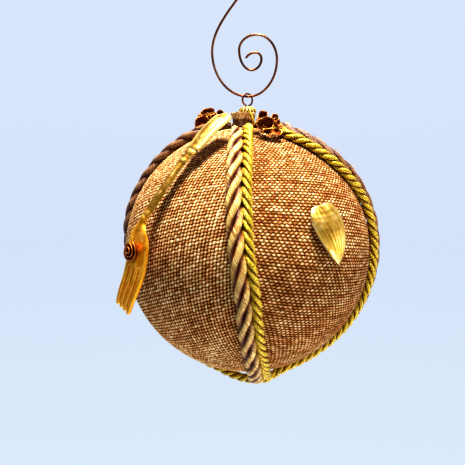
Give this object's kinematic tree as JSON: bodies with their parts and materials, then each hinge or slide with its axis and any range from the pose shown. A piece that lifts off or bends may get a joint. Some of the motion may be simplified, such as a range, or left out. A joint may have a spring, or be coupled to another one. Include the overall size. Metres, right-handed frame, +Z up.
{
  "type": "hanging ball ornament",
  "caption": "Burlap-covered ball hung from a swirled wire hook, trimmed with twisted cords, a small ornate fork, a ribbed shell and metal flowers",
  "frame": {"origin": "The middle of the underside of the hook's crook, where the ornament rests on what it hangs from", "axes": "+Z is up, the side with the fork and the shell faces -Y, and the hook lies in the XZ plane"},
  "size_m": [0.1086, 0.1094, 0.1884],
  "materials": {
    "core": "matte foam",
    "burlap": "coarse open plain weave",
    "tan_cord": "satin three-ply twist",
    "gold_cord": "metallic thread, twisted",
    "gilt_metal": "bright antiqued gilt",
    "bronze": "dark bronze with bright rims",
    "copper_wire": "drawn copper-coloured wire"
  },
  "bodies": {
    "root": {"ball": "core", "panel_front_left": "burlap", "panel_front_right": "burlap", "panel_back_left": "burlap", "panel_back_right": "burlap", "collar": "burlap", "thick_cord_front": "tan_cord", "thick_cord_left": "tan_cord", "thick_cord_right": "tan_cord", "gold_cord_front": "gold_cord", "gold_cord_side": "gold_cord", "cord_end": "gold_cord", "cap": "gilt_metal", "fork": "gilt_metal", "shell": "gilt_metal", "left_flower": "bronze", "right_flower": "bronze", "rosette": "bronze", "cap_loop": "copper_wire", "swirl_hook": "copper_wire"}
  },
  "joints": []
}
